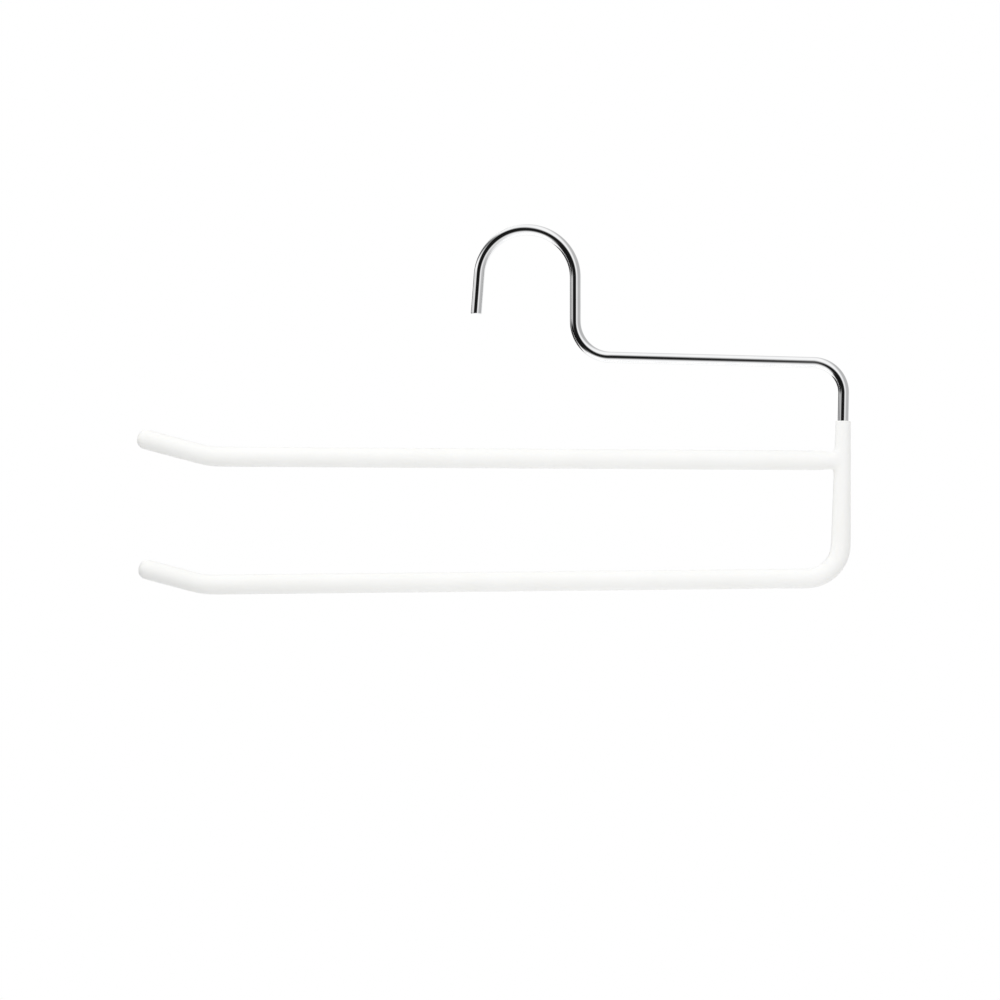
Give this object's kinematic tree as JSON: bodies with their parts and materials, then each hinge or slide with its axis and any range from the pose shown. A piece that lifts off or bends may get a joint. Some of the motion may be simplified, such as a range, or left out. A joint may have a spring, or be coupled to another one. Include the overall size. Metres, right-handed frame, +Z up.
{
  "type": "double trouser hanger",
  "caption": "Open-ended trouser hanger: a chromed wire hook and shoulder carry an upper and a lower arm, both dipped in soft white vinyl, with turned-up tips that keep trousers on.",
  "frame": {"origin": "the rail seat: the point inside the crown of the hook where the hanger rests on a rail", "axes": "+Z up along the hook, +X along the arms towards the closed end with the upright, -X towards the open ends, Y along the rail"},
  "size_m": [0.3502, 0.0098, 0.1818],
  "materials": {
    "chrome_wire": "bright chrome plate on drawn steel wire",
    "core_wire": "drawn steel, covered by the coat",
    "weld_metal": "as welded, covered by the coat",
    "white_vinyl": "soft satin dip coat"
  },
  "bodies": {
    "root": {"hanger_wire": "chrome_wire", "upper_arm_wire": "core_wire", "arm_weld": "weld_metal", "vinyl_coat": "white_vinyl"}
  },
  "joints": []
}
